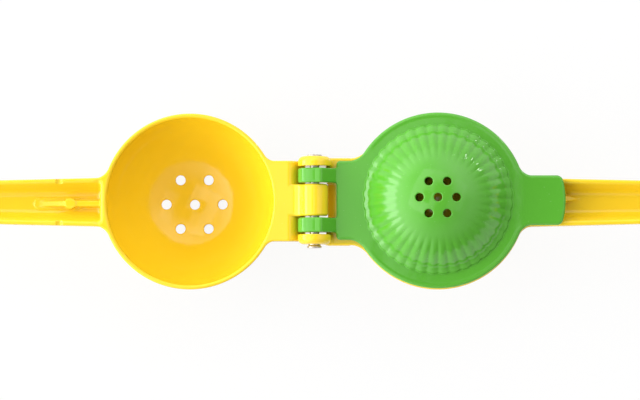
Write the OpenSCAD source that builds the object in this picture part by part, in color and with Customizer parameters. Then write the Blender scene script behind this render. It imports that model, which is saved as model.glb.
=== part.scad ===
// Hinged citrus squeezer, laid open flat.
// +X runs along the press handle, +Y along the hinge pin and +Z up, out of
// the open bowl. The origin lies under the hinge pin, level with the foot of
// the lemon bowl. All lengths are in millimetres.

/* [Lemon bowl] */
// Distance from the hinge pin to the middle of the lemon bowl
bowl_reach = 53.4; // [52:0.1:56]
// Outside diameter of the lemon bowl's rim
bowl_d = 75; // [70:0.5:76]
// Width of the flat land round the lemon bowl's rim
bowl_rim_wall = 1.7; // [1.2:0.1:2.6]
// Thickness of the lemon bowl at its foot
bowl_foot_wall = 2.1; // [1.5:0.1:3.5]
// Height cut off the round bottom to make the flat foot
bowl_foot_cut = 1; // [0.5:0.1:1.6]
// Diameter of a drain hole in the lemon bowl
bowl_hole_d = 4.3; // [3:0.1:5]
// Spacing of the drain holes in the lemon bowl
bowl_hole_pitch = 12.3; // [9:0.1:14]

/* [Lime insert] */
// Distance from the hinge pin to the middle of the lime insert
insert_reach = 52.7; // [51.5:0.1:54]
// Diameter of the lime insert's flange
insert_flange_d = 75.2; // [72:0.2:76]
// Thickness of the lime insert's flange
insert_plate = 3.7; // [3:0.1:4.2]
// Radius of the ball that the lime insert's dome is part of
dome_r = 33; // [31:0.1:35]
// Radius of the dome where it stands on the skirt
dome_foot_r = 29.3; // [28:0.1:30]
// Thickness of the dome's wall
dome_wall = 2.8; // [2.2:0.1:3.2]
// Radius of the scalloped skirt where it meets the flange
skirt_r = 31.9; // [31.4:0.1:32.6]
// Height of the upright step at the foot of the skirt
skirt_step = 0.8; // [0.5:0.1:1.2]
// Height of the scalloped skirt
skirt_h = 2.5; // [2:0.1:4]
// Number of flutes round the dome
flutes = 40; // [24:1:48]
// Radius of the tool that cuts a flute's valley
flute_tool_r = 1.1; // [0.8:0.1:1.3]
// Depth of a flute's valley
flute_depth = 0.55; // [0.3:0.05:0.8]
// Distance from the dome's axis to the upper ends of the flutes
flute_end_r = 16.5; // [14:0.5:20]
// Diameter of a hole in the top of the dome
dome_hole_d = 3.5; // [2.5:0.1:4]
// Spacing of the holes in the top of the dome
dome_hole_pitch = 7.8; // [6:0.1:9]
// Distance from the hinge pin to the end of the insert's tab
tab_reach = 106.1; // [100:0.1:112]
// Width of the insert's tab
tab_w = 21.3; // [20:0.1:23]
// Radius of the tab's corners
tab_corner = 2; // [1:0.5:4]

/* [Press] */
// Diameter of the press's flange
press_flange_d = 75.2; // [72:0.2:76]
// Thickness of the press's flange
press_plate = 3.2; // [2.6:0.1:3.8]
// Gap between the plunger and the cup that it stands in
plunger_gap = 2.5; // [1.5:0.1:4]
// Thickness of the plunger's wall
plunger_wall = 3; // [2.4:0.1:4]
// Number of flutes round the plunger
plunger_flutes = 24; // [16:1:32]

/* [Handles] */
// Distance from the hinge pin to the tip of either handle
handle_reach = 205; // [185:1:225]
// Width of a handle beside its bowl
handle_root_w = 20.8; // [18:0.1:22]
// Width of a handle at its tip
handle_tip_w = 16; // [13:0.1:18]
// Depth of a handle beside its bowl
handle_root_depth = 11; // [9:0.5:13]
// Depth of a handle at its tip
handle_tip_depth = 8; // [7:0.5:9]
// Thickness of a handle's side walls
handle_wall = 2.2; // [1.8:0.1:3]
// Thickness of a handle's floor
handle_floor = 2.4; // [2:0.1:3]
// Rounding along the lower edges of a handle
handle_edge = 3.2; // [2.5:0.1:4]
// Rounding along the lower edges of a handle's channel
channel_edge = 3; // [2:0.1:3.5]
// Radius of the fillets where a handle leaves its bowl
handle_fillet = 6.4; // [4:0.1:8]
// Width of the rib along a handle's channel
rib_w = 2.6; // [2:0.1:4]
// Height of the rib above the channel's floor
rib_h = 4.5; // [3:0.1:6]
// Length of the rib in the bowl's handle
bowl_rib_l = 28; // [20:1:40]
// Length of the rib in the press's handle
press_rib_l = 20; // [12:1:30]
// Distance from the hinge pin to the round boss on the bowl handle's rib
boss_reach = 104.4; // [100:0.1:106]
// Diameter of that boss
boss_d = 4.8; // [4:0.1:7]
// Distance from the hinge pin to the small notches in the bowl handle's edges
notch_reach = 108.8; // [107:0.1:114]
// Radius of the tool that cuts those notches
notch_r = 1.5; // [1:0.1:2.5]
// Depth of those notches
notch_depth = 0.7; // [0.4:0.1:1.2]

/* [Hinge] */
// Diameter of the hinge pin
pin_d = 4; // [3.5:0.1:4.5]
// Radial clearance of the pin in a turning knuckle
pin_clearance = 0.06; // [0.02:0.01:0.1]
// Radial clearance of the pin in the ears that hold it
pin_seat_clearance = 0.01; // [0.01:0.01:0.03]
// Diameter of the pin's two ends, outside the ears
pin_head_d = 6.2; // [5.5:0.1:7]
// Height of the pin's notched head
pin_head_h = 0.9; // [0.6:0.1:1.5]
// Height of the pin's flared end
pin_flare_h = 1.6; // [1:0.1:2]
// Number of notches round the pin's head
pin_notches = 12; // [8:1:16]
// Width of the bowl's middle knuckle
mid_knuckle_w = 13.4; // [11:0.1:14]
// Radius of the bowl's middle knuckle
mid_knuckle_r = 5.8; // [5.2:0.1:6]
// Width of each of the insert's two knuckles
insert_knuckle_w = 6.3; // [5.5:0.1:7]
// Rounding of the middle knuckle's rims
mid_knuckle_round = 0.8; // [0.4:0.1:1.2]
// Radius of the insert's knuckles and of the press's ears
outer_knuckle_r = 7.1; // [6.6:0.1:7.3]
// Rounding of the rims of the insert's knuckles
insert_knuckle_round = 0.5; // [0.3:0.1:1]
// Rounding of the ears' outer rims
ear_round = 1.6; // [0.8:0.1:2]
// Width of each of the press's two ears
ear_w = 4.3; // [3.5:0.1:5]
// Gap between one knuckle and the next
knuckle_gap = 0.75; // [0.6:0.05:1]
// How far the insert has slid along the pin
insert_play = 0.2; // [0:0.05:0.25]
// How far the press has slid along the pin, the other way
press_play = 0.2; // [0:0.05:0.25]
// Gap between a turning knuckle and the casting that it turns in
turn_gap = 0.6; // [0.5:0.1:0.8]
// Gap between two flat faces that close on each other
face_gap = 0.3; // [0.2:0.05:0.4]
// Width of the bowl's neck
bowl_neck_w = 34.4; // [34:0.1:37]
// Depth of the bowl's neck
bowl_neck_depth = 9.6; // [9:0.1:11]
// Distance from the pin to the lip of the bowl's neck
bowl_lip = 4.1; // [4.1:0.1:5]
// Rounding of the top edge of the bowl's neck
bowl_neck_round = 4; // [3.5:0.1:4.5]
// Width of the insert's neck
insert_neck_w = 33.8; // [33:0.1:35]
// Distance from the pin to the edge of the insert's neck
insert_edge = 9.3; // [9.2:0.1:11]
// Width of the press's neck
press_neck_w = 37.3; // [37:0.1:38]
// Distance from the pin to the edge of the press's neck
press_edge = 5; // [5:0.1:6]
// Radius of the fillets where the bowl's neck meets its rim
bowl_neck_fillet = 3; // [2:0.5:5]
// Radius of the fillets where the other two necks meet their flanges
flange_neck_fillet = 6; // [3:0.5:7]

/* [Hidden] */
$fn = 96;
hull_fn = 32;
tool_fn = 24;

// The cutting tools run past the faces that they cut by this much.
past = 1;

// Heights above the foot of the lemon bowl
bowl_r = bowl_d / 2;
cavity_r = bowl_r - bowl_rim_wall;
rim_z = bowl_foot_wall + cavity_r;
outer_drop = rim_z + bowl_foot_cut - bowl_r;
pin_z = rim_z + face_gap / 2;
insert_top = pin_z - face_gap / 2;
insert_under = insert_top - insert_plate;
press_top = insert_under - face_gap;
press_under = press_top - press_plate;

// Places along the pin
insert_knuckle_y = mid_knuckle_w / 2 + knuckle_gap;
ear_y = insert_knuckle_y + insert_knuckle_w + knuckle_gap;
ear_outer_y = ear_y + ear_w;

// The bowl's neck is hollowed out round the pin to this radius.
bowl_recess_r = outer_knuckle_r + turn_gap;

// The channels start just outside the bowl and the flanges.
channel_start = bowl_reach + cavity_r + 2;
// Height at which a rib's sloping end meets the channel's floor
rib_end_h = handle_floor / 4;
handle_tip_r = handle_tip_w / 2;
handle_tip_x = handle_reach - handle_tip_r;

// The dome, the cup inside it and the plunger are parts of balls that share
// one middle.
dome_mid_z = insert_top + skirt_h - sqrt(pow(dome_r, 2) - pow(dome_foot_r, 2));
cup_r = dome_r - dome_wall;
plunger_r = cup_r - plunger_gap;
plunger_flute_end_r = flute_end_r * plunger_r / dome_r;
// The skirt's valleys are wider than the dome's.
skirt_tool_r = 2 * flute_tool_r;

// ---- Shared shapes ------------------------------------------------------

// A flat plate, seen from above, with its top at the height given
module plate(top, thick) {
    translate([0, 0, top - thick]) linear_extrude(thick) children();
}

// Outline of a round flange with a straight strip leaving it along -X or +X,
// filleted into the circle. The flange's middle is at the origin.
module strip_fillets(r, half_w, fillet, side) {
    // The fillet's own middle stands this far from the flange's.
    fy = half_w + fillet;
    fx = sqrt(pow(r + fillet, 2) - pow(fy, 2));
    for (m = [-1, 1]) difference() {
        polygon([[0, 0], [side * fx, m * fy], [side * fx, 0]]);
        translate([side * fx, m * fy]) circle(fillet);
    }
}

// Seven round holes: one in the middle and six round it
module hole_ring(pitch, d, bottom, top) {
    for (a = [0 : 60 : 300]) rotate(a) translate([pitch, 0, bottom])
        cylinder(d = d, h = top - bottom);
    translate([0, 0, bottom]) cylinder(d = d, h = top - bottom);
}

// A round bar along Y, centred on the pin's axis
module on_pin(r, from, to) {
    translate([0, to, pin_z]) rotate([90, 0, 0]) cylinder(r = r, h = to - from);
}

// A knuckle along Y on the pin's axis, with its two rims rounded
module knuckle(r, from, to, round_from, round_to) {
    translate([0, to, pin_z]) rotate([90, 0, 0]) rotate_extrude() {
        square([r - max(round_from, round_to), to - from]);
        translate([0, round_to]) square([r, to - from - round_from - round_to]);
        for (rim = [[round_to, round_to], [to - from - round_from, round_from]])
            translate([r - rim[1], rim[0]]) circle(rim[1]);
        translate([0, round_to]) square([r - round_from, to - from - round_to]);
        square([r - round_to, to - from - round_from]);
    }
}

// A post with a rounded foot: its top is at z = 0 and it goes down by depth
module rounded_post(r, depth, edge) {
    rotate_extrude($fn = hull_fn) intersection() {
        union() {
            translate([0, edge - depth]) square([r, depth - edge]);
            translate([0, -depth]) square([r - edge, edge]);
            translate([r - edge, edge - depth]) circle(edge, $fn = hull_fn);
        }
        translate([0, -depth]) square([r, depth]);
    }
}

// Half the width of a handle at a distance from the pin
function handle_half_w(x) = handle_root_w / 2 + (handle_tip_w - handle_root_w) / 2
    * (x - channel_start) / (handle_tip_x - channel_start);

// A tapering bar with a round tip and rounded lower edges. It lies along +X
// from the place given, with its flat top at z = 0, and is inset all round.
module handle_bar(from, inset, root_depth, tip_depth, edge) {
    half = handle_half_w(from) - inset;
    hull() {
        for (m = [-1, 1]) translate([from + edge, m * (half - edge)])
            rounded_post(edge, root_depth, edge);
        translate([handle_tip_x, 0]) rounded_post(handle_tip_r - inset, tip_depth, edge);
    }
}

// The channel sunk into a handle's top
module handle_channel() {
    translate([0, 0, past])
        handle_bar(channel_start, handle_wall, handle_root_depth - handle_floor + past,
            handle_tip_depth - handle_floor + past, channel_edge);
}

// The rib along the middle of the channel, sloping down at its end
module handle_rib(length) {
    floor_z = handle_floor - handle_root_depth;
    translate([0, rib_w / 2, 0]) rotate([90, 0, 0]) linear_extrude(rib_w)
        polygon([[channel_start - past, floor_z - past], [channel_start - past, floor_z + rib_h],
            [channel_start + length - rib_h, floor_z + rib_h],
            [channel_start + length, floor_z + rib_end_h],
            [channel_start + length, floor_z - past]]);
}

// The part above a height of a ball that has its middle at the origin
module cap(r, from) {
    intersection() {
        sphere(r);
        translate([0, 0, from]) cylinder(r = r + past, h = r + past - from);
    }
}

// The tools that cut the valleys between flutes on a ball. Each runs up a
// meridian, at one depth, to the distance from the ball's axis that is given.
module flute_tools(count, ball_r, end_r) {
    for (i = [0 : count - 1]) rotate((i + 0.5) * 360 / count) rotate([90, 0, 0])
        rotate_extrude(angle = acos(end_r / ball_r))
            translate([ball_r + flute_tool_r - flute_depth, 0]) circle(flute_tool_r, $fn = tool_fn);
}

// ---- Lemon bowl with its handle -------------------------------------------

// The outside of the bowl: a ball with a straight rim, cut flat at its foot
module bowl_outside() {
    translate([-bowl_reach, 0, 0]) {
        intersection() {
            translate([0, 0, rim_z - outer_drop]) sphere(bowl_r);
            cylinder(r = bowl_d, h = rim_z - outer_drop);
        }
        translate([0, 0, rim_z - outer_drop]) cylinder(r = bowl_r, h = outer_drop);
    }
}

// The neck that carries the hinge, hollowed underneath beside the knuckle
module bowl_neck() {
    from = -bowl_reach + cavity_r;
    pocket_from = -bowl_reach + bowl_r;
    pocket_to = -bowl_recess_r - handle_wall;
    pocket_y = mid_knuckle_w / 2 + handle_wall / 2;
    difference() {
        union() {
            translate([from - past, -bowl_neck_w / 2, rim_z - bowl_neck_depth])
                cube([-bowl_lip - from + past, bowl_neck_w, bowl_neck_depth]);
            translate([-bowl_reach, 0, 0]) plate(rim_z, bowl_neck_depth)
                strip_fillets(bowl_r, bowl_neck_w / 2, bowl_neck_fillet, 1);
        }
        // Room for the insert's knuckles and the press's ears to turn in
        on_pin(bowl_recess_r, -bowl_neck_w, bowl_neck_w);
        // The rounded top edge beside that hollow
        neck_edge_tool();
        for (m = [-1, 1]) translate([pocket_from, 0, rim_z - bowl_neck_depth - past])
            translate([0, m > 0 ? pocket_y : handle_wall - bowl_neck_w / 2, 0])
                cube([pocket_to - pocket_from, bowl_neck_w / 2 - handle_wall - pocket_y,
                    bowl_neck_depth - insert_plate + past]);
    }
}

// Takes the corner off the neck's top edge and leaves it round
module neck_edge_tool() {
    edge_x = -bowl_recess_r - bowl_neck_round;
    difference() {
        translate([edge_x, -bowl_neck_w, rim_z - bowl_neck_round])
            cube([bowl_neck_round + past, 2 * bowl_neck_w, bowl_neck_round + past]);
        translate([edge_x, bowl_neck_w + past, rim_z - bowl_neck_round]) rotate([90, 0, 0])
            cylinder(r = bowl_neck_round, h = 2 * (bowl_neck_w + past));
    }
}

// The middle knuckle, which a sloping web joins to the top of the neck
module mid_knuckle() {
    // The slope starts beside the edge that the insert's neck closes to.
    crease_x = insert_edge - face_gap;
    crease_h = rim_z - pin_z;
    // The slope touches the knuckle where its own angle says.
    a = acos(mid_knuckle_r / norm([crease_x, crease_h])) - atan(crease_h / crease_x);
    knuckle(mid_knuckle_r, -mid_knuckle_w / 2, mid_knuckle_w / 2,
        mid_knuckle_round, mid_knuckle_round);
    translate([0, mid_knuckle_w / 2, pin_z]) rotate([90, 0, 0]) linear_extrude(mid_knuckle_w)
        polygon([[0, 0], [-mid_knuckle_r * cos(a), mid_knuckle_r * sin(a)],
            [-crease_x, crease_h], [-bowl_recess_r - bowl_neck_round - past, crease_h],
            [-bowl_recess_r - bowl_neck_round - past, -mid_knuckle_r],
            [0, -mid_knuckle_r]]);
}

// The handle, with the walls that blend it into the bowl
module bowl_handle() {
    translate([0, 0, rim_z]) mirror([1, 0, 0])
        handle_bar(bowl_reach, 0, handle_root_depth, handle_tip_depth, handle_edge);
    translate([-bowl_reach, 0, 0]) plate(rim_z, handle_root_depth - handle_edge)
        strip_fillets(bowl_r, handle_half_w(channel_start), handle_fillet, -1);
}

// The tool that cuts a small notch across each of the handle's top edges
module notch_tool() {
    translate([-notch_reach, handle_root_w, rim_z + notch_r - notch_depth])
        rotate([90, 0, 0]) cylinder(r = notch_r, h = 2 * handle_root_w);
}

module lemon_bowl() {
    color("gold") difference() {
        union() {
            difference() {
                union() {
                    bowl_outside();
                    bowl_neck();
                    bowl_handle();
                }
                translate([0, 0, rim_z]) mirror([1, 0, 0]) handle_channel();
            }
            mid_knuckle();
            translate([0, 0, rim_z]) mirror([1, 0, 0]) handle_rib(bowl_rib_l);
            translate([-boss_reach, 0, rim_z - handle_root_depth + handle_floor / 2])
                cylinder(d = boss_d, h = rib_h + handle_floor / 2);
        }
        // The bowl's hollow and its drain holes
        translate([-bowl_reach, 0, rim_z]) sphere(cavity_r);
        translate([-bowl_reach, 0, rim_z]) cylinder(r = cavity_r, h = past);
        translate([-bowl_reach, 0, 0]) hole_ring(bowl_hole_pitch, bowl_hole_d, -past, rim_z);
        on_pin(pin_d / 2 + pin_clearance, -mid_knuckle_w, mid_knuckle_w);
        notch_tool();
    }
}

// ---- Lime insert ------------------------------------------------------------

// Everything flat about the insert, seen from above
module insert_outline() {
    flange_r = insert_flange_d / 2;
    translate([insert_reach, 0]) {
        circle(flange_r);
        strip_fillets(flange_r, insert_neck_w / 2, flange_neck_fillet, -1);
        strip_fillets(flange_r, tab_w / 2, handle_fillet, 1);
    }
    translate([insert_edge, -insert_neck_w / 2]) square([insert_reach - insert_edge, insert_neck_w]);
    translate([insert_reach, -tab_w / 2]) square([tab_reach - tab_corner - insert_reach, tab_w]);
    translate([insert_reach, tab_corner - tab_w / 2])
        square([tab_reach - insert_reach, tab_w - 2 * tab_corner]);
    for (m = [-1, 1]) translate([tab_reach - tab_corner, m * (tab_w / 2 - tab_corner)])
        circle(tab_corner);
}

// The skirt: a low step and a sloping ledge, with a scalloped outline that
// follows the dome's flutes
module skirt() {
    ledge_h = skirt_h - skirt_step;
    // The ledge's slope runs on into the dome.
    end_r = skirt_r - (skirt_r - dome_foot_r) * (ledge_h + past) / ledge_h;
    intersection() {
        linear_extrude(skirt_h + past) difference() {
            circle(skirt_r);
            for (i = [0 : flutes - 1]) rotate((i + 0.5) * 360 / flutes)
                translate([skirt_r + skirt_tool_r - flute_depth, 0])
                    circle(skirt_tool_r, $fn = tool_fn);
        }
        union() {
            cylinder(r = skirt_r + past, h = skirt_step);
            translate([0, 0, skirt_step]) cylinder(r1 = skirt_r, r2 = end_r, h = ledge_h + past);
        }
    }
}

// Side view, round the pin, of an arm that slopes from a knuckle to the neck.
// The hollow at its foot closes over the round edge of the bowl's neck.
module arm_profile() {
    hollow = [bowl_recess_r + bowl_neck_round, bowl_neck_round + pin_z - rim_z];
    hollow_r = bowl_neck_round + turn_gap;
    // The slope touches both the knuckle and the hollow.
    a = atan(hollow.y / hollow.x) + acos((outer_knuckle_r + hollow_r) / norm(hollow));
    out = [cos(a), sin(a)];
    difference() {
        polygon([[0, 0], outer_knuckle_r * out, hollow - hollow_r * out, hollow,
            [hollow.x, insert_under - pin_z], [0, insert_under - pin_z]]);
        translate(hollow) circle(hollow_r);
    }
}

// The insert's knuckles with the arms that join them to its neck
module insert_knuckles() {
    for (m = [0, 1]) mirror([0, m, 0]) {
        knuckle(outer_knuckle_r, insert_knuckle_y, insert_knuckle_y + insert_knuckle_w,
            insert_knuckle_round, insert_knuckle_round);
        translate([0, insert_knuckle_y + insert_knuckle_w, pin_z]) rotate([90, 0, 0])
            linear_extrude(insert_knuckle_w) arm_profile();
    }
}

module lime_insert() {
    color("limegreen") translate([0, insert_play, 0]) difference() {
        union() {
            plate(insert_top, insert_plate) insert_outline();
            insert_knuckles();
            translate([insert_reach, 0, insert_top]) skirt();
            translate([insert_reach, 0, dome_mid_z]) difference() {
                cap(dome_r, insert_top - dome_mid_z);
                flute_tools(flutes, dome_r, flute_end_r);
            }
        }
        translate([insert_reach, 0, dome_mid_z]) {
            cap(cup_r, insert_under - past - dome_mid_z);
            hole_ring(dome_hole_pitch, dome_hole_d, insert_top - dome_mid_z, dome_r + past);
        }
        on_pin(pin_d / 2 + pin_clearance, -ear_y, ear_y);
    }
}

// ---- Press with its handle ----------------------------------------------------

// The flange and the neck, seen from above
module press_outline() {
    flange_r = press_flange_d / 2;
    translate([insert_reach, 0]) {
        circle(flange_r);
        strip_fillets(flange_r, press_neck_w / 2, flange_neck_fillet, -1);
        strip_fillets(flange_r, handle_half_w(channel_start), handle_fillet, 1);
    }
    translate([press_edge, -press_neck_w / 2]) square([insert_reach - press_edge, press_neck_w]);
}

// The plunger, which stands inside the lime insert
module plunger() {
    translate([insert_reach, 0, dome_mid_z]) difference() {
        cap(plunger_r, press_top - past - dome_mid_z);
        flute_tools(plunger_flutes, plunger_r, plunger_flute_end_r);
    }
}

// The hollow in the back of the plunger
module plunger_hollow() {
    translate([insert_reach, 0, dome_mid_z])
        cap(plunger_r - plunger_wall, press_under - past - dome_mid_z);
}

module press_handle() {
    color("gold") translate([0, -press_play, 0]) difference() {
        union() {
            difference() {
                union() {
                    plate(press_top, press_plate) press_outline();
                    translate([0, 0, press_top]) handle_bar(insert_reach + plunger_r, 0,
                        handle_root_depth, handle_tip_depth, handle_edge);
                }
                translate([0, 0, press_top]) handle_channel();
                // Room for the insert's knuckles to turn in
                on_pin(outer_knuckle_r + turn_gap, -ear_y, ear_y);
            }
            translate([0, 0, press_top]) handle_rib(press_rib_l);
            plunger();
            for (m = [0, 1]) mirror([0, m, 0])
                knuckle(outer_knuckle_r, ear_y, ear_outer_y, insert_knuckle_round, ear_round);
        }
        plunger_hollow();
        on_pin(pin_d / 2 + pin_seat_clearance, -ear_outer_y - past, ear_outer_y + past);
    }
}

// ---- Hinge pin -----------------------------------------------------------------

// The pin's notched head, outside the ear at +Y, and its flared end at -Y
module hinge_pin() {
    lip_h = pin_flare_h / 4;
    color("silver") translate([0, -press_play, 0]) {
        on_pin(pin_d / 2, -ear_outer_y - pin_flare_h / 2, ear_outer_y + pin_head_h / 2);
        difference() {
            on_pin(pin_head_d / 2, ear_outer_y, ear_outer_y + pin_head_h);
            for (i = [0 : pin_notches - 1]) translate([0, 0, pin_z])
                rotate([0, (i + 0.5) * 360 / pin_notches, 0])
                    translate([pin_head_d / 2, ear_outer_y + pin_head_h + past, 0])
                        rotate([90, 0, 0]) cylinder(d = pin_head_h / 2, h = pin_head_h / 2 + past);
        }
        on_pin(pin_head_d / 2 - lip_h, -ear_outer_y - pin_flare_h, -ear_outer_y);
        on_pin(pin_head_d / 2, -ear_outer_y - pin_flare_h + lip_h / 2,
            -ear_outer_y - pin_flare_h + lip_h * 2);
    }
}

lemon_bowl();
lime_insert();
press_handle();
hinge_pin();
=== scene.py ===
"""Looks of the hinged citrus squeezer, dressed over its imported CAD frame.

The three enamelled castings and the steel pin are written as signed distances,
in millimetres and in the row frame: negative inside, zero on the surface. Each
is meshed on a grid and then drawn onto its true surface, so that fillets,
flutes and rounded edges are real geometry. The camera, floor, lights and
materials follow. Sizes are those of the CAD source, or are read off the frame.
"""

import math

import bpy
import numpy as np
from mathutils import Matrix, Vector


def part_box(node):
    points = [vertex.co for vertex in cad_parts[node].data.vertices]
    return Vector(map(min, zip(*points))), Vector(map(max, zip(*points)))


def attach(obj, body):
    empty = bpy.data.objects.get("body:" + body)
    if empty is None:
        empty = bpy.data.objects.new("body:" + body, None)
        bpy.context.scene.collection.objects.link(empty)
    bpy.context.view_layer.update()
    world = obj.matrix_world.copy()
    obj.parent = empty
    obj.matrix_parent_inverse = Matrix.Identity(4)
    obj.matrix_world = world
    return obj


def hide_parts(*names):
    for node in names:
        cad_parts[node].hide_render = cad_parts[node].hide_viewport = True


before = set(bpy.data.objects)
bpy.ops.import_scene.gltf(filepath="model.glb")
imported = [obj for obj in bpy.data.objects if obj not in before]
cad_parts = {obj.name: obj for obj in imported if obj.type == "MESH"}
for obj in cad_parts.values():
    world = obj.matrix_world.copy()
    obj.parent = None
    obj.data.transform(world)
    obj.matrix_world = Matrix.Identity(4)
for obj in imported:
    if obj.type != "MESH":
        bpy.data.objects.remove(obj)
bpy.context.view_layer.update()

MM = 0.001

# ---- Sizes, in millimetres ---------------------------------------------------


def mm_box(node):
    """Lowest and highest corner of a CAD node, in millimetres."""
    return [np.array(corner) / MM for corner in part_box(node)]


pin_lo, pin_hi = mm_box("hinge_pin")
insert_lo, insert_hi = mm_box("lime_insert")
press_lo, press_hi = mm_box("press_handle")

FACE_GAP = 0.3
PIN_Z = (pin_lo[2] + pin_hi[2]) / 2
PIN_R = 2.0
PIN_CLEARANCE = 0.06
RIM_Z = PIN_Z - FACE_GAP / 2
INSERT_Y = (insert_lo[1] + insert_hi[1]) / 2
PRESS_Y = (press_lo[1] + press_hi[1]) / 2

BOWL_REACH = 53.4
BOWL_R = 37.65
BOWL_Y = -0.15
RIM_WALL = 1.85
CAVITY_R = BOWL_R - RIM_WALL
OUTER_DROP = 1.4
BOWL_HOLE_R = 2.15
BOWL_HOLE_PITCH = 12.3

HANDLE_REACH = press_hi[0]
HANDLE_TIP_R = 8.0
HANDLE_TIP_X = HANDLE_REACH - HANDLE_TIP_R
HANDLE_ROOT_HALF = 10.4
HANDLE_ROOT_DEPTH = 11.0
HANDLE_TIP_DEPTH = 8.0
HANDLE_EDGE = 3.2
HANDLE_WALL = 1.9
HANDLE_FLOOR = 2.4
CHANNEL_START = 91.9
CHANNEL_SLOPE = 0.4
CHANNEL_EDGE = 2.2
RIB_HALF = 1.3
RIB_H = 4.5
BOWL_HANDLE_Y = -0.4
PRESS_HANDLE_Y = -0.35
BOWL_RIB_Y = -0.4
BOWL_RIB_END = 121.5
PRESS_RIB_END = 113.4
PRESS_RIB_Y = 1.8
BOSS_REACH = 105.0
BOSS_R = 2.4
NOTCH_REACH = 109.3
NOTCH_R = 1.5
NOTCH_DEPTH = 1.0
PAD_REACH = 110.2
PAD_HALF = 7.9
PAD_R = 2.6
PAD_H = 0.45
PLAN_FILLET = 3.8

MID_KNUCKLE_HALF = 6.85
MID_KNUCKLE_Y = 0.3
MID_KNUCKLE_R = 5.8
KNUCKLE_GAP = 0.75
INSERT_KNUCKLE_W = 6.3
OUTER_KNUCKLE_R = 7.1
EAR_W = 4.3
INSERT_KNUCKLE_Y = 7.45
EAR_Y = INSERT_KNUCKLE_Y + INSERT_KNUCKLE_W + KNUCKLE_GAP
EAR_OUTER_Y = EAR_Y + EAR_W
EAR_SHIFT = 0.4
KNUCKLE_FLAT = 6.55
KNUCKLE_TILT = math.radians(12)
RECESS_R = OUTER_KNUCKLE_R + 0.6
GROOVE_R = 9.4
BOWL_NECK_HALF = 17.2
BOWL_NECK_DEPTH = 9.6
BOWL_NECK_ROUND = 4.0
BOWL_LIP = 4.1
POCKET_Y = 11.4
POCKET_HALF = 3.6

INSERT_REACH = 52.7
FLANGE_R = 37.6
INSERT_PLATE = 3.7
INSERT_UNDER = RIM_Z - INSERT_PLATE
INSERT_NECK_HALF = 16.9
INSERT_EDGE = 9.3
BEAD_H = 0.12
TAB_REACH = 107.2
TAB_END_R = 33.0
TAB_HALF = 10.65
DOME_Y = 0.4
DOME_R = 33.0
DOME_FOOT_R = 29.3
DOME_WALL = 2.8
SKIRT_R = 31.9
SKIRT_STEP = 0.8
SKIRT_H = 2.5
DOME_MID_Z = RIM_Z + SKIRT_H - math.sqrt(DOME_R**2 - DOME_FOOT_R**2)
CUP_R = DOME_R - DOME_WALL
DOME_HOLE_R = 1.75
DOME_HOLE_PITCH = 7.8
FLUTES = 40
FLUTE_DEPTH = 0.62

PRESS_TOP = INSERT_UNDER - FACE_GAP
PRESS_PLATE = 3.2
PRESS_NECK_HALF = 18.65
PRESS_EDGE = 5.0
EAR_CLEARANCE = 0.01
WEB_X = 10.25
WEB_HALF = 4.75
WEB_DROP = 8.5
WEB_HALF_THICK = 2.2
PLUNGER_R = CUP_R - 2.5
PLUNGER_WALL = 3.0
PLUNGER_DROP = 5.0
PLUNGER_FLUTES = 24

# ---- Signed distances ----------------------------------------------------------


def join(a, b, r):
    """Two solids in one, with a fillet of radius r where their walls meet squarely."""
    u, v = np.maximum(r - a, 0), np.maximum(r - b, 0)
    return np.maximum(r, np.minimum(a, b)) - np.hypot(u, v)


def meet(a, b, r):
    """What lies in both solids, with their common edge rounded to radius r."""
    u, v = np.maximum(r + a, 0), np.maximum(r + b, 0)
    return np.minimum(-r, np.maximum(a, b)) + np.hypot(u, v)


def cut(a, tool, r):
    """A solid less a tool, with the new edge rounded to radius r."""
    return meet(a, -tool, r)


def ramp(low, high, v):
    """0 below low, 1 above high, and smooth between them."""
    t = np.clip((v - low) / (high - low), 0, 1)
    return t * t * (3 - 2 * t)


def hole_ring(x, y, pitch, r):
    """Seven upright round holes: one in the middle and six round it."""
    holes = np.hypot(x, y)
    for i in range(6):
        a = math.radians(60 * i)
        holes = np.minimum(holes, np.hypot(x - pitch * math.cos(a), y - pitch * math.sin(a)))
    return holes - r


def handle_plan(x, y, inset):
    """A handle seen from above, x being the distance from the pin, inset all round."""
    taper = (HANDLE_TIP_R - HANDLE_ROOT_HALF) / (HANDLE_TIP_X - CHANNEL_START)
    half = HANDLE_ROOT_HALF + taper * (np.minimum(x, HANDLE_TIP_X) - CHANNEL_START)
    return np.hypot(np.maximum(x - HANDLE_TIP_X, 0), y) - half + inset


def handle_depth(x, root):
    """How far down a handle reaches below its top."""
    end = HANDLE_TIP_X + HANDLE_TIP_R - HANDLE_EDGE
    fall = (HANDLE_ROOT_DEPTH - HANDLE_TIP_DEPTH) / (end - root)
    return HANDLE_ROOT_DEPTH - fall * (x - root)


def handle_bar(x, y, up, root):
    """A handle from the root given, with no top: up is the height above its top."""
    plan = meet(handle_plan(x, y, 0), root - x, HANDLE_EDGE)
    return meet(plan, -up - handle_depth(x, root), HANDLE_EDGE)


def handle_channel(x, y, up, root):
    """The channel sunk into a handle, open above, with side walls that slope inwards."""
    plan = handle_plan(x, y, HANDLE_WALL - CHANNEL_SLOPE * up) / math.hypot(1, CHANNEL_SLOPE)
    plan = meet(plan, CHANNEL_START - x, 1.0)
    return meet(plan, HANDLE_FLOOR - handle_depth(x, root) - up, CHANNEL_EDGE)


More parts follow.
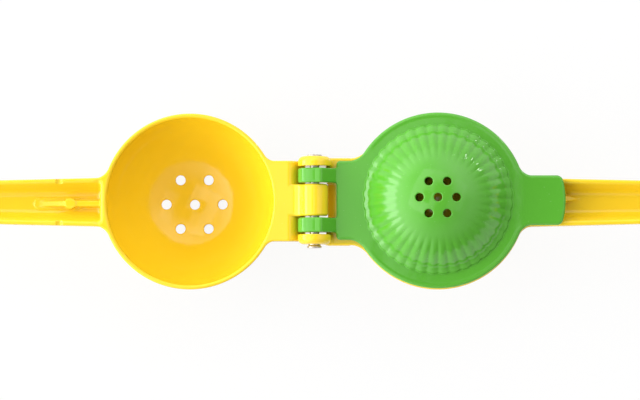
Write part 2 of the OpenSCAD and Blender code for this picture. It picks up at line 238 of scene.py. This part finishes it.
def handle_rib(x, y, up, root, end, taper):
    """The rib along the channel, level at first, then sloping down to a tapered end."""
    top = HANDLE_FLOOR + RIB_H - HANDLE_ROOT_DEPTH
    fall = (RIB_H - 1.0) / (end - BOSS_REACH)
    slope = (up - top + fall * np.maximum(x - BOSS_REACH, 0)) / math.hypot(1, fall)
    half = RIB_HALF * (1 - np.clip((x - end) / taper + 1, 0, 1) ** 2)
    rib = meet(np.abs(y) - half, slope, 0.5)
    return np.maximum(rib, np.maximum(CHANNEL_START - 1 - x, -up - handle_depth(x, root)))


def between(y, low, high, round_low, round_high, section):
    """A section round the pin's axis, run along Y, with its two rims rounded."""
    return meet(meet(section, y - high, round_high), low - y, round_low)


def fluted(angle, out, count, start, full):
    """Distance from the axis, made longer in the valleys between soft flutes."""
    lobe = np.sqrt(np.sin(angle * count / 2) ** 2 + 0.05)
    return out + FLUTE_DEPTH * (1.025 - lobe) * ramp(start, full, out)


def lemon_bowl(x, y, z):
    up, high = z - RIM_Z, z - PIN_Z
    from_pin = np.hypot(x, high)
    from_axis = np.hypot(x + BOWL_REACH, y - BOWL_Y)
    root = BOWL_REACH + HANDLE_EDGE
    side = y - BOWL_HANDLE_Y

    ball = np.hypot(from_axis, np.minimum(up + OUTER_DROP, 0)) - BOWL_R
    solid = join(ball, handle_bar(-x, side, up, root), PLAN_FILLET)
    neck = meet(np.abs(y) - BOWL_NECK_HALF, -up - BOWL_NECK_DEPTH, 1.5)
    neck = meet(neck, x + BOWL_LIP, 0.6)
    solid = join(solid, np.maximum(neck, -BOWL_REACH - x), 2.4)

    # The neck's top rolls over into the hollow that the other knuckles turn in.
    top = meet(up, RECESS_R - from_pin, BOWL_NECK_ROUND)
    solid = meet(solid, top, 0.7)
    pocket_x = (BOWL_REACH - BOWL_R + RECESS_R + HANDLE_WALL) / 2
    pocket_half = (BOWL_REACH - BOWL_R - RECESS_R - HANDLE_WALL) / 2
    pocket = meet(np.abs(x + pocket_x) - pocket_half, np.abs(np.abs(y) - POCKET_Y) - POCKET_HALF, 0.8)
    solid = cut(solid, meet(pocket, up + INSERT_PLATE, 0.8), 0.5)
    solid = meet(solid, -z, 0.8)
    solid = cut(solid, np.hypot(from_axis, np.minimum(up, 0)) - CAVITY_R, 1.0)

    # The channel's end at the bowl has a softer edge than its sides.
    soft = 0.8 + 0.9 * ramp(-95.0, -92.5, x)
    solid = cut(solid, handle_channel(-x, side, up, root), soft)
    side = side - BOWL_RIB_Y
    solid = join(solid, handle_rib(-x, side, up, root, BOWL_RIB_END, 2.5), 0.7)
    # A low oblong pad lies round the rib's far half.
    pad = np.hypot(np.maximum(np.abs(x + PAD_REACH) - PAD_HALF, 0), side) - PAD_R
    pad_up = up + handle_depth(-x, root) - HANDLE_FLOOR
    solid = join(solid, meet(pad, np.abs(pad_up) - PAD_H, 0.3), 0.3)
    boss = np.hypot(x + BOSS_REACH, side) - BOSS_R
    boss_top = up + HANDLE_ROOT_DEPTH - HANDLE_FLOOR - RIB_H - 0.3
    boss = np.maximum(meet(boss, boss_top, 0.4), -up - HANDLE_TIP_DEPTH)
    solid = join(solid, boss, 0.7)
    notch = np.hypot(x + NOTCH_REACH, up - NOTCH_R + NOTCH_DEPTH) - NOTCH_R
    solid = cut(solid, notch, 0.3)

    # The middle knuckle, which a hollow web joins to the top of the neck
    low = RIM_Z - PIN_Z
    web_x = INSERT_EDGE
    web_r = (web_x**2 + low**2 - MID_KNUCKLE_R**2) / (2 * (MID_KNUCKLE_R - low))
    web = np.maximum(web_r - np.hypot(x + web_x, high - low - web_r), -web_x - x)
    web = np.maximum(web, (high * web_x + x * (low + web_r)) / (MID_KNUCKLE_R + web_r))
    ledge = np.maximum(up, -RECESS_R - BOWL_NECK_ROUND - x)
    web = np.maximum(np.minimum(web, ledge), np.maximum(x, -high - MID_KNUCKLE_R))
    section = np.minimum(from_pin - MID_KNUCKLE_R, web)
    solid = np.minimum(solid, meet(np.abs(y - MID_KNUCKLE_Y) - MID_KNUCKLE_HALF, section, 1.1))

    solid = cut(solid, from_pin - PIN_R - PIN_CLEARANCE, 0.25)
    return cut(solid, hole_ring(x + BOWL_REACH, y, BOWL_HOLE_PITCH, BOWL_HOLE_R), 0.35)


def lime_insert(x, y, z):
    y = y - INSERT_Y
    up, high = z - RIM_Z, z - PIN_Z
    from_pin = np.hypot(x, high)
    cx = x - INSERT_REACH
    from_axis = np.hypot(cx, y)

    # The flange with its neck and its tab, and a low bead round the flange; no underside yet
    neck = meet(np.abs(y) - INSERT_NECK_HALF, INSERT_EDGE - x, 1.6)
    neck = np.maximum(neck, cx)
    tab_end = np.hypot(x - TAB_REACH + TAB_END_R, y) - TAB_END_R
    tab = np.maximum(meet(np.abs(y) - TAB_HALF, tab_end, 2.0), -cx)
    arm_y = INSERT_KNUCKLE_Y + INSERT_KNUCKLE_W / 2
    strip = np.maximum(np.abs(np.abs(y) - arm_y) - INSERT_KNUCKLE_W / 2, np.abs(x - 8) - 3)
    plan = join(join(from_axis - FLANGE_R, neck, PLAN_FILLET), tab, PLAN_FILLET)
    plan = join(plan, strip, 0.9)
    bead = BEAD_H * ramp(1.1, 2.4, -plan) * ramp(22.0, 30.0, x) * ramp(-90.0, -84.0, -x)
    solid = meet(plan, up + bead, 1.2)

    # Arms that slope down from the two knuckles to the neck
    hollow_x, hollow_z = RECESS_R + BOWL_NECK_ROUND, BOWL_NECK_ROUND + FACE_GAP / 2
    hollow_r = BOWL_NECK_ROUND + 0.6
    a = math.atan2(hollow_z, hollow_x)
    a += math.acos((OUTER_KNUCKLE_R + hollow_r) / math.hypot(hollow_x, hollow_z))
    arm = x * math.cos(a) + high * math.sin(a) - OUTER_KNUCKLE_R
    arm = np.maximum(arm, hollow_r - np.hypot(x - hollow_x, high - hollow_z))
    arm = np.maximum(arm, np.maximum(-x, x - hollow_x))
    arm = np.maximum(arm, INSERT_UNDER - z)
    # The knuckles are a little flat on top, facing away from the flange.
    flat = high * math.cos(KNUCKLE_TILT) - x * math.sin(KNUCKLE_TILT) - KNUCKLE_FLAT
    section = meet(np.minimum(arm, from_pin - OUTER_KNUCKLE_R), flat, 0.8)
    ends = [INSERT_KNUCKLE_Y, INSERT_KNUCKLE_Y + INSERT_KNUCKLE_W, 0.8, 0.8]
    solid = meet(solid, INSERT_UNDER - z, 0.5)
    solid = np.minimum(solid, between(np.abs(y), *ends, section))

    # The fluted dome on its stepped skirt
    side = y - DOME_Y
    from_axis = np.hypot(cx, side)
    out = fluted(np.arctan2(side, cx), from_axis, FLUTES, 14.5, 25.0)
    ledge = np.array([SKIRT_H - SKIRT_STEP, SKIRT_R - DOME_FOOT_R])
    ledge /= np.hypot(*ledge)
    ledge = (out - SKIRT_R) * ledge[0] + (up - SKIRT_STEP) * ledge[1]
    skirt = np.maximum(meet(out - SKIRT_R, ledge, 0.4), np.abs(up) - SKIRT_H - 0.5)
    dome = np.maximum(np.hypot(out, z - DOME_MID_Z) - DOME_R, INSERT_UNDER + 1 - z)
    solid = join(solid, join(dome, skirt, 0.6), 0.5)
    cup = np.hypot(from_axis, z - DOME_MID_Z) - CUP_R
    solid = cut(solid, cup, 0.5)
    solid = cut(solid, hole_ring(cx, side, DOME_HOLE_PITCH, DOME_HOLE_R), 0.35)
    return cut(solid, from_pin - PIN_R - PIN_CLEARANCE, 0.25)


def press_handle(x, y, z):
    y = y - PRESS_Y
    up, high = z - PRESS_TOP, z - PIN_Z
    from_pin = np.hypot(x, high)
    cx = x - INSERT_REACH
    from_axis = np.hypot(cx, y)
    root = INSERT_REACH + PLUNGER_R

    neck = np.maximum(meet(np.abs(y) - PRESS_NECK_HALF, PRESS_EDGE - x, 0.6), cx)
    plate = meet(join(from_axis - FLANGE_R, neck, PLAN_FILLET), -up - PRESS_PLATE, 0.8)
    side = y - PRESS_HANDLE_Y
    solid = join(plate, handle_bar(x, side, up, root), PLAN_FILLET)
    solid = meet(solid, up, 0.8)
    solid = cut(solid, handle_channel(x, side, up, root), 0.8)
    solid = join(solid, handle_rib(x, side - PRESS_RIB_Y, up, root, PRESS_RIB_END, 7.0), 0.7)
    # A thicker web between the ears, hollowed out for the knuckles to turn in
    web = meet(np.abs(x - WEB_X) - WEB_HALF, np.abs(y) - PRESS_NECK_HALF, 0.6)
    solid = join(solid, meet(web, np.abs(high + WEB_DROP) - WEB_HALF_THICK, 0.8), 0.8)
    ear_y = np.abs(y - EAR_SHIFT)
    turning = np.maximum(from_pin - RECESS_R, ear_y - EAR_Y)
    groove_half = INSERT_KNUCKLE_Y - 0.3
    groove = np.maximum(from_pin - GROOVE_R, np.abs(y - MID_KNUCKLE_Y) - groove_half)
    solid = cut(solid, np.minimum(turning, groove), 0.4)

    out = fluted(np.arctan2(y, cx), from_axis, PLUNGER_FLUTES, 12.0, 17.0)
    squash = PLUNGER_R / (PLUNGER_R - PLUNGER_DROP)
    plunger = np.hypot(out, squash * (z - DOME_MID_Z)) - PLUNGER_R
    solid = join(solid, np.maximum(plunger, -up - PRESS_PLATE / 2), 1.2)
    hollow = np.hypot(from_axis, squash * (z - DOME_MID_Z)) - PLUNGER_R + squash * PLUNGER_WALL
    solid = cut(solid, hollow, 0.8)

    ears = between(ear_y, EAR_Y, EAR_OUTER_Y, 0.6, 2.4, from_pin - OUTER_KNUCKLE_R)
    solid = join(solid, ears, 2.2)
    clear = np.maximum(ear_y - EAR_Y, np.maximum(-up, x - 12))
    solid = cut(solid, np.minimum(clear, turning), 0.3)
    return cut(solid, from_pin - PIN_R - EAR_CLEARANCE, 0.2)


def hinge_pin(x, y, z):
    y = y - PRESS_Y - EAR_SHIFT
    from_pin = np.hypot(x, z - PIN_Z)
    angle = np.arctan2(z - PIN_Z, x)
    head_h, flare_h, head_r = 0.9, 1.6, 3.1
    shank = meet(from_pin - PIN_R, np.abs(y) - EAR_OUTER_Y - 0.4, 0.2)
    # The head is pressed into notches all round, and slightly domed.
    notched = from_pin + 0.28 * ramp(0.3, 1, np.cos(12 * angle)) * ramp(2.0, 2.9, from_pin)
    head = meet(notched - head_r, y - EAR_OUTER_Y - head_h + 0.02 * from_pin**2, 0.3)
    head = np.maximum(head, EAR_OUTER_Y - 0.1 - y)
    # The far end is flared like a tube: a waist, a lip and a shallow pit.
    along = -y - EAR_OUTER_Y
    lip_r = 2.55 + 0.55 * ramp(0.3, 1.1, along)
    flare = meet(from_pin - lip_r, along - flare_h, 0.25)
    flare = np.maximum(flare, -0.1 - along)
    pit = np.hypot(from_pin, along - flare_h - 0.9) - 1.9
    return np.minimum(np.minimum(shank, head), cut(flare, pit, 0.2))


# ---- Meshing ---------------------------------------------------------------------


def grid_field(field, axes):
    """The field on a grid, worked out in slabs to save memory."""
    x, y, z = (a.astype(np.float32) for a in axes)
    slabs = np.array_split(x, max(1, len(x) // 16))
    return np.concatenate(
        [field(s[:, None, None], y[None, :, None], z[None, None, :]) for s in slabs]
    )


def surface_net(values, axes):
    """Points and quads on the zero level: one point in each grid cell that it crosses."""
    shape = np.array(values.shape)
    inside = values < 0
    cell_of, spot_of, quads = [], [], []
    for axis in range(3):
        u, v = (axis + 1) % 3, (axis + 2) % 3
        near = [slice(None)] * 3
        far = [slice(None)] * 3
        near[axis], far[axis] = slice(0, -1), slice(1, None)
        at = np.argwhere(inside[tuple(near)] != inside[tuple(far)])
        a = values[tuple(near)][tuple(at.T)]
        b = values[tuple(far)][tuple(at.T)]
        spot = at.astype(float)
        spot[:, axis] += a / (a - b)
        ring = []
        for du, dv in ((0, 0), (1, 0), (1, 1), (0, 1)):
            cell = at.copy()
            cell[:, u] -= du
            cell[:, v] -= dv
            ring.append(np.ravel_multi_index(tuple(cell.T), shape))
            cell_of.append(ring[-1])
            spot_of.append(spot)
        ring = np.stack(ring, 1)
        quads.append(np.where((a < 0)[:, None], ring, ring[:, ::-1]))
    cells, index = np.unique(np.concatenate(cell_of), return_inverse=True)
    spots = np.concatenate(spot_of)
    count = np.bincount(index)
    points = np.stack([np.bincount(index, spots[:, k]) / count for k in range(3)], 1)
    steps = np.array([a[1] - a[0] for a in axes])
    points = points * steps + [a[0] for a in axes]
    return points, np.searchsorted(cells, np.concatenate(quads))


def slopes(field, points, h=0.03):
    """The field's value and gradient at each point."""
    x, y, z = points.T
    value = field(x, y, z)
    gradient = np.stack(
        [
            field(x + h, y, z) - field(x - h, y, z),
            field(x, y + h, z) - field(x, y - h, z),
            field(x, y, z + h) - field(x, y, z - h),
        ],
        1,
    ) / (2 * h)
    return value, gradient


def settle(field, points, most):
    """The points, moved onto the surface along its normals, and those normals."""
    for _ in range(3):
        value, gradient = slopes(field, points)
        size = np.maximum((gradient**2).sum(1), 0.04)
        move = np.clip(value / size, -most, most)
        points = points - move[:, None] * gradient
    value, gradient = slopes(field, points)
    return points, gradient / np.maximum(np.linalg.norm(gradient, axis=1), 1e-6)[:, None]


def new_mesh(name, points, faces):
    mesh = bpy.data.meshes.new(name)
    mesh.vertices.add(len(points))
    mesh.vertices.foreach_set("co", points.astype(np.float32).ravel())
    mesh.loops.add(faces.size)
    mesh.loops.foreach_set("vertex_index", faces.astype(np.int32).ravel())
    mesh.polygons.add(len(faces))
    starts = np.arange(0, faces.size, faces.shape[1], dtype=np.int32)
    mesh.polygons.foreach_set("loop_start", starts)
    mesh.update(calc_edges=True)
    return mesh


def cast(name, field, node, step, most_faces, material, body):
    """A piece made from a signed distance, in place of a CAD node."""
    lo, hi = mm_box(node)
    axes = [np.arange(lo[k] - 3 * step, hi[k] + 4 * step, step) for k in range(3)]
    points, quads = surface_net(grid_field(field, axes), axes)
    points, _ = settle(field, points, step)
    obj = bpy.data.objects.new(name, new_mesh(name, points * MM, quads))
    bpy.context.scene.collection.objects.link(obj)
    triangles = 2 * len(quads)
    if triangles > most_faces:
        thin = obj.modifiers.new("thin", "DECIMATE")
        thin.ratio = most_faces / triangles
        graph = bpy.context.evaluated_depsgraph_get()
        thinned = bpy.data.meshes.new_from_object(obj.evaluated_get(graph))
        obj.modifiers.clear()
        obj.data = thinned
        points = np.empty(len(thinned.vertices) * 3)
        thinned.vertices.foreach_get("co", points)
        points = points.reshape(-1, 3) / MM
    points, normals = settle(field, points, step / 2)
    mesh = obj.data
    mesh.vertices.foreach_set("co", (points * MM).astype(np.float32).ravel())
    mesh.shade_smooth()
    mesh.normals_split_custom_set_from_vertices(normals)
    mesh.materials.append(material)
    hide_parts(node)
    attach(obj, body)
    return obj


# ---- Materials ---------------------------------------------------------------------


class Nodes:
    """A small helper that adds shader nodes and links them."""

    def __init__(self, tree):
        self.tree = tree
        tree.nodes.clear()

    def add(self, kind, **sockets):
        node = self.tree.nodes.new(kind)
        for name, value in sockets.items():
            self.feed(node, name.replace("_", " "), value)
        return node

    def feed(self, node, name, value):
        if isinstance(value, bpy.types.NodeSocket):
            self.tree.links.new(value, node.inputs[name])
        else:
            node.inputs[name].default_value = value


def enamel(name, base, shade, pale):
    """Glossy stoved enamel: orange peel, pale specks scattered at random and slightly uneven colour.
    """
    mat = bpy.data.materials.new(name)
    mat.use_nodes = True
    n = Nodes(mat.node_tree)
    where = n.add("ShaderNodeTexCoord").outputs["Object"]

    def noise(scale, detail=2.0):
        return n.add("ShaderNodeTexNoise", Vector=where, Scale=scale, Detail=detail).outputs["Fac"]

    def stretch(value, low, high, to_low, to_high):
        node = n.add("ShaderNodeMapRange")
        for i, v in enumerate((value, low, high, to_low, to_high)):
            n.feed(node, i, v)
        return node.outputs["Result"]

    def blend(amount, a, b):
        node = n.add("ShaderNodeMix")
        node.data_type = "RGBA"
        for i, v in ((0, amount), (6, a), (7, b)):
            n.feed(node, i, v)
        return node.outputs[2]

    broad = stretch(noise(35.0), 0.35, 0.65, 0.0, 1.0)
    colour = blend(broad, (*base, 1), (*shade, 1))
    # Pale specks, scattered at random all over the surface
    specks = stretch(noise(1300.0, 1.0), 0.74, 0.8, 0.0, 0.25)
    colour = blend(specks, colour, (*pale, 1))
    peel = n.add("ShaderNodeBump", Strength=0.08, Distance=0.0002, Height=noise(650.0, 3.0))
    ripple = n.add("ShaderNodeBump", Strength=0.18, Distance=0.0004, Height=noise(120.0, 1.0))
    n.feed(ripple, "Normal", peel.outputs[0])
    shader = n.add(
        "ShaderNodeBsdfPrincipled",
        Base_Color=colour,
        Roughness=stretch(noise(260.0), 0.3, 0.7, 0.07, 0.12),
        Normal=ripple.outputs[0],
    )
    shader.inputs["IOR"].default_value = 1.5
    n.add("ShaderNodeOutputMaterial", Surface=shader.outputs[0])
    return mat


def steel(name):
    """Plain turned steel with fine rings and a dull, uneven polish."""
    mat = bpy.data.materials.new(name)
    mat.use_nodes = True
    n = Nodes(mat.node_tree)
    where = n.add("ShaderNodeTexCoord").outputs["Object"]
    grey = n.add("ShaderNodeTexNoise", Vector=where, Scale=900.0, Detail=3.0)
    tone = n.add("ShaderNodeValToRGB", Fac=grey.outputs["Fac"])
    tone.color_ramp.elements[0].color = (0.42, 0.36, 0.3, 1)
    tone.color_ramp.elements[1].color = (0.78, 0.74, 0.68, 1)
    rings = n.add("ShaderNodeTexWave", Vector=where, Scale=2200.0, Distortion=2.0)
    rings.bands_direction = "Y"
    bump = n.add("ShaderNodeBump", Strength=0.2, Distance=0.00005, Height=rings.outputs["Fac"])
    rough = n.add("ShaderNodeMapRange", Value=grey.outputs["Fac"])
    rough.inputs["To Min"].default_value = 0.22
    rough.inputs["To Max"].default_value = 0.42
    shader = n.add(
        "ShaderNodeBsdfPrincipled",
        Base_Color=tone.outputs["Color"],
        Roughness=rough.outputs["Result"],
        Normal=bump.outputs[0],
    )
    shader.inputs["Metallic"].default_value = 1.0
    n.add("ShaderNodeOutputMaterial", Surface=shader.outputs[0])
    return mat


def seen_white(n, plain, to_camera, to_gloss):
    """A shader that is plain for light, and mixed with white for the camera and for gloss."""
    path = n.add("ShaderNodeLightPath")
    shares = []
    for ray, share in (("Is Camera Ray", to_camera), ("Is Glossy Ray", to_gloss)):
        part = n.add("ShaderNodeMath")
        part.operation = "MULTIPLY"
        n.feed(part, 0, path.outputs[ray])
        n.feed(part, 1, share)
        shares.append(part.outputs[0])
    weight = n.add("ShaderNodeMath")
    weight.operation = "MAXIMUM"
    n.feed(weight, 0, shares[0])
    n.feed(weight, 1, shares[1])
    mix = n.add("ShaderNodeMixShader", Fac=weight.outputs[0])
    behind = plain.node.type == "BACKGROUND"
    kind = "ShaderNodeBackground" if behind else "ShaderNodeEmission"
    white = n.add(kind, Strength=1.0, Color=(1, 1, 1, 1))
    n.feed(mix, 1, plain)
    n.feed(mix, 2, white.outputs[0])
    return mix.outputs[0]


# ---- The squeezer --------------------------------------------------------------------

YELLOW = enamel("yellow_enamel", (0.92, 0.64, 0.020), (0.90, 0.615, 0.018), (0.95, 0.78, 0.2))
GREEN = enamel("green_enamel", (0.098, 0.40, 0.030), (0.090, 0.38, 0.027), (0.4, 0.7, 0.3))
STEEL = steel("pin_steel")

STEP = 0.45
MOST_FACES = 190_000

bowl = cast("lemon_bowl_casting", lemon_bowl, "lemon_bowl", STEP, MOST_FACES, YELLOW, "bowl")
insert = cast("lime_insert_casting", lime_insert, "lime_insert", STEP, MOST_FACES, GREEN, "insert")
press = cast("press_casting", press_handle, "press_handle", STEP, MOST_FACES, YELLOW, "press")
pin = cast("hinge_pin_turned", hinge_pin, "hinge_pin", 0.16, MOST_FACES, STEEL, "press")

# ---- Floor, background and lights ------------------------------------------------------

floor_mesh = new_mesh(
    "floor",
    np.array([[-4, -4, 0], [4, -4, 0], [4, 4, 0], [-4, 4, 0]], float),
    np.array([[0, 1, 2, 3]]),
)
floor = bpy.data.objects.new("floor", floor_mesh)
bpy.context.scene.collection.objects.link(floor)
floor_mat = bpy.data.materials.new("pale_floor")
floor_mat.use_nodes = True
nodes = Nodes(floor_mat.node_tree)
paper = nodes.add("ShaderNodeBsdfDiffuse", Color=(0.8, 0.8, 0.8, 1))
nodes.add("ShaderNodeOutputMaterial", Surface=seen_white(nodes, paper.outputs[0], 0.9, 0.3))
floor_mesh.materials.append(floor_mat)

# The soft light all round: azimuth (0 is +X, 90 is +Y), elevation and radiance of
# each broad lobe. It comes mostly from the left, and less from the right and below.
SKY = [
    (0, 38, 0.75), (36, 38, 1.6), (72, 38, 1.7), (108, 38, 0.75), (144, 38, 0.95),
    (180, 38, 2.0), (216, 38, 1.85), (252, 38, 0.9), (288, 38, 0.6), (324, 38, 0.65),
    (0, 12, 0.2), (30, 12, 0.2), (60, 12, 1.1), (90, 12, 1.3), (120, 12, 2.1),
    (150, 12, 2.7), (180, 12, 2.7), (210, 12, 2.8), (240, 12, 1.5),
]
LOBE_SPREAD = math.radians(34)

world = bpy.data.worlds.new("studio")
world.use_nodes = True
nodes = Nodes(world.node_tree)
direction = nodes.add("ShaderNodeTexCoord").outputs["Generated"]
sky = 0.0
for azimuth, elevation, radiance in SKY:
    a, e = math.radians(azimuth), math.radians(elevation)
    near = nodes.add("ShaderNodeVectorMath")
    near.operation = "DOT_PRODUCT"
    nodes.feed(near, 0, direction)
    nodes.feed(near, 1, (math.cos(a) * math.cos(e), math.sin(a) * math.cos(e), math.sin(e)))
    off = nodes.add("ShaderNodeMath")
    off.operation = "ARCCOSINE"
    nodes.feed(off, 0, near.outputs["Value"])
    lobe = nodes.add("ShaderNodeMapRange", Value=off.outputs[0], From_Max=LOBE_SPREAD)
    lobe.interpolation_type = "SMOOTHSTEP"
    lobe.inputs["To Min"].default_value = radiance
    lobe.inputs["To Max"].default_value = 0.0
    total = nodes.add("ShaderNodeMath")
    total.operation = "ADD"
    nodes.feed(total, 0, sky)
    nodes.feed(total, 1, lobe.outputs["Result"])
    sky = total.outputs[0]
ambient = nodes.add("ShaderNodeBackground", Color=(1, 1, 1, 1), Strength=sky)
nodes.add("ShaderNodeOutputWorld", Surface=seen_white(nodes, ambient.outputs[0], 1.0, 0.2))
bpy.context.scene.world = world


def area_light(name, place, spin, tip, size, radiance):
    """A rectangular lamp, in metres, which the camera doesn't see: it shines down, is
    turned by spin about the vertical, and is then tipped about its own Y edge."""
    light = bpy.data.lights.new(name, "AREA")
    light.shape = "RECTANGLE"
    light.size, light.size_y = size
    light.energy = radiance * math.pi * size[0] * size[1]
    lamp = bpy.data.objects.new(name, light)
    lamp.matrix_world = (
        Matrix.Translation(place) @ Matrix.Rotation(spin, 4, "Z") @ Matrix.Rotation(tip, 4, "Y")
    )
    lamp.visible_camera = False
    bpy.context.scene.collection.objects.link(lamp)
    return lamp


# A low ceiling of softboxes: across and along give each one's sides, in metres, in
# directions turned from X and Y. Its right edge ends just above the squeezer.
CEILING = 0.95
TURN = math.radians(-22.4)
SOFTBOXES = [
    ("left", (-0.75, -0.36), (-0.5, 0.8), 1.3),
    ("near", (-0.36, -0.13), (-0.5, -0.18), 1.8),
    ("far", (-0.36, -0.13), (0.12, 0.8), 0.8),
    ("middle", (-0.13, 0.036), (-0.5, 0.12), 1.2),
    ("back", (-0.13, 0.036), (0.42, 0.8), 0.6),
    ("right", (0.3, 0.75), (-0.1, 0.8), 0.6),
]
for name, across, along, radiance in SOFTBOXES:
    middle = Vector((sum(across) / 2, sum(along) / 2, 0))
    middle.rotate(Matrix.Rotation(TURN, 3, "Z"))
    size = (across[1] - across[0], along[1] - along[0])
    area_light(name + "_softbox", middle + Vector((0, 0, CEILING)), TURN, 0, size, radiance)
area_light("side_softbox", (-0.9, 0, 0.24), 0, math.radians(-77), (0.4, 1.0), 2.6)
CORNER_SPIN, CORNER_TIP = math.radians(45), math.radians(86)
area_light("corner_lamp", (1.06, 1.06, 0.13), CORNER_SPIN, CORNER_TIP, (0.12, 0.12), 22.0)

# ---- Camera ------------------------------------------------------------------------------

# The photograph shows 273.3 mm across at the height of the rims. Its middle is
# a little right of the pin, and the camera stands right of and below it.
FRAME_W = 273.3
AIM = Vector((2.35, 0.34, RIM_Z)) * MM
EYE = Vector((48.5, -72.7, RIM_Z + 1580)) * MM

camera = bpy.data.objects.new("camera", bpy.data.cameras.new("camera"))
forward = (AIM - EYE).normalized()
right = forward.cross(Vector((0, 1, 0))).normalized()
above = right.cross(forward)
facing = Matrix((right, above, -forward)).transposed().to_4x4()
camera.matrix_world = Matrix.Translation(EYE) @ facing
camera.data.sensor_width = 36.0
camera.data.lens = camera.data.sensor_width * (AIM - EYE).length / (FRAME_W * MM)
camera.data.clip_start, camera.data.clip_end = 0.1, 20.0
bpy.context.scene.collection.objects.link(camera)
bpy.context.scene.camera = camera

bpy.context.scene.view_settings.view_transform = "Standard"
